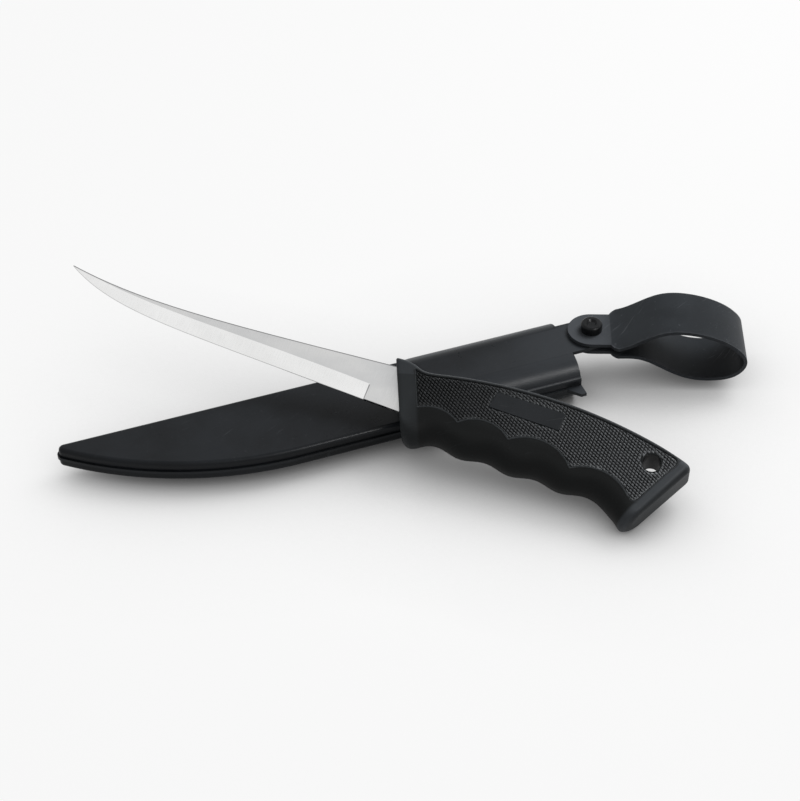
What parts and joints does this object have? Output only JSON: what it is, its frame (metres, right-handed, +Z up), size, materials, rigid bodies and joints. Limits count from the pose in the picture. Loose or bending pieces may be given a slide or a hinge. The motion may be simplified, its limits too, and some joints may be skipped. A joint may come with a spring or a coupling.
{
  "type": "fillet knife with sheath",
  "caption": "Fillet knife with a slim curved blade and grooved, checkered grip, lying across its moulded sheath, which has a riveted swivelling belt loop.",
  "frame": {"origin": "under the middle of the whole set's bounding box, on the surface that it lies on", "axes": "+Z up, +X along the sheath from its tip to its mouth and belt loop, +Y away from the knife's butt"},
  "size_m": [0.316, 0.205, 0.0485],
  "materials": {
    "blade_steel": "satin, with a brighter ground edge",
    "core_plastic": "moulded",
    "grip_rubber": "matte overmould",
    "sheath_plastic": "moulded, slight sheen",
    "strap_plastic": "moulded, slight sheen",
    "rivet_metal": "black, satin"
  },
  "bodies": {
    "sheath": {"sheath_front": "sheath_plastic", "sheath_back": "sheath_plastic"},
    "belt_hanger": {"belt_loop": "strap_plastic", "rivet_cap": "rivet_metal", "rivet_base": "rivet_metal"},
    "knife": {"blade": "blade_steel", "handle_core": "core_plastic", "handle_grip": "grip_rubber"}
  },
  "joints": [
    {"name": "loop_swivel", "type": "hinge", "parent": "sheath", "child": "belt_hanger", "pos_m": [0.08754, 0.00511, 0.02122], "axis": [0, 0, 1], "range_deg": [-48.5, 91.5]},
    {"name": "knife_lift", "type": "slide", "parent": "sheath", "child": "knife", "axis": [0, 0, 1], "range_m": [0, 0.12]}
  ]
}
